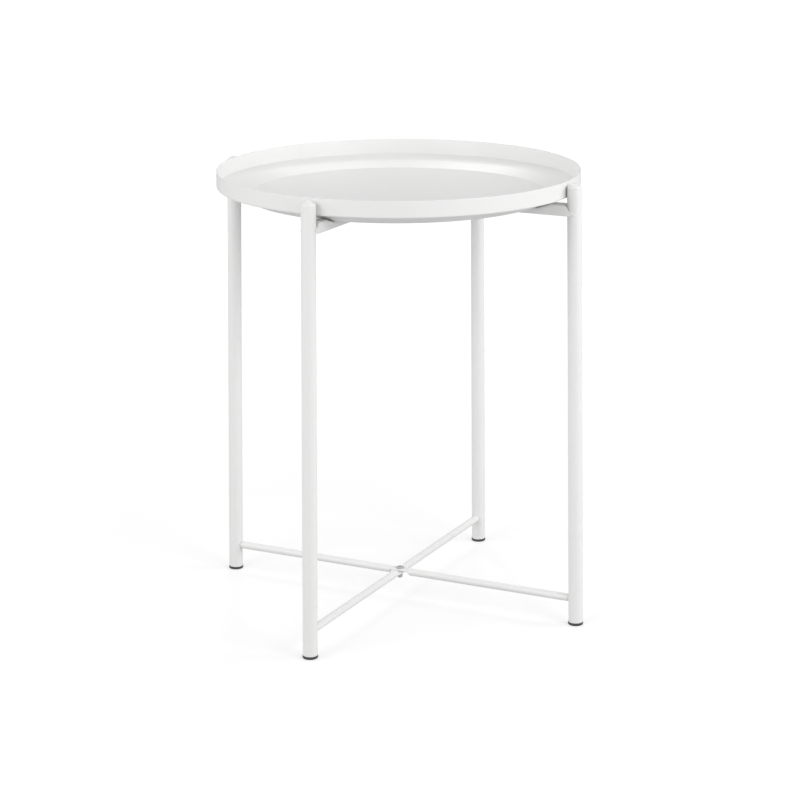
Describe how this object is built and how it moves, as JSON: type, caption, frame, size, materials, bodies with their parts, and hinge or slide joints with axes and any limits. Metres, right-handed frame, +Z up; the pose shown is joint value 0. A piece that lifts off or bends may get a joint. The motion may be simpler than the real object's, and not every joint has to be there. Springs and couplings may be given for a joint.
{
  "type": "folding side table",
  "caption": "Round metal side table: a lift-off tray between upright tube legs, on two leg frames that cross and scissor about an upright pivot.",
  "frame": {"origin": "on the floor, on the upright pivot axis at the middle of the table", "axes": "+Z up; leg frame A stands along X and leg frame B along Y, square to each other as in use; -Y is the front"},
  "size_m": [0.501, 0.501, 0.552],
  "materials": {
    "white_powder_coat": "satin white powder coat on steel",
    "white_plastic": "satin white plastic",
    "dark_plastic": "dark grey moulded plastic",
    "zinc_steel": "zinc-plated steel"
  },
  "bodies": {
    "leg_frame_a": {"leg_tube_right": "white_powder_coat", "leg_cap_right": "white_plastic", "foot_right": "dark_plastic", "leg_tube_left": "white_powder_coat", "leg_cap_left": "white_plastic", "foot_left": "dark_plastic", "upper_crossbar_a": "white_powder_coat", "lower_rod_a": "white_powder_coat"},
    "leg_frame_b": {"leg_tube_front": "white_powder_coat", "leg_cap_front": "white_plastic", "foot_front": "dark_plastic", "leg_tube_back": "white_powder_coat", "leg_cap_back": "white_plastic", "foot_back": "dark_plastic", "upper_crossbar_b": "white_powder_coat", "lower_rod_b": "white_powder_coat", "upper_pivot_screw": "zinc_steel", "upper_pivot_nut": "zinc_steel", "lower_pivot_screw": "zinc_steel"},
    "tray_body": {"tray": "white_powder_coat"}
  },
  "joints": [
    {"name": "frame_fold", "type": "hinge", "parent": "leg_frame_a", "child": "leg_frame_b", "pos_m": [0, 0, 0.033], "axis": [0, 0, 1], "range_deg": [-40, 40]},
    {"name": "tray_lift", "type": "slide", "parent": "leg_frame_a", "child": "tray_body", "axis": [0, 0, 1], "range_m": [0, 0.1]}
  ]
}
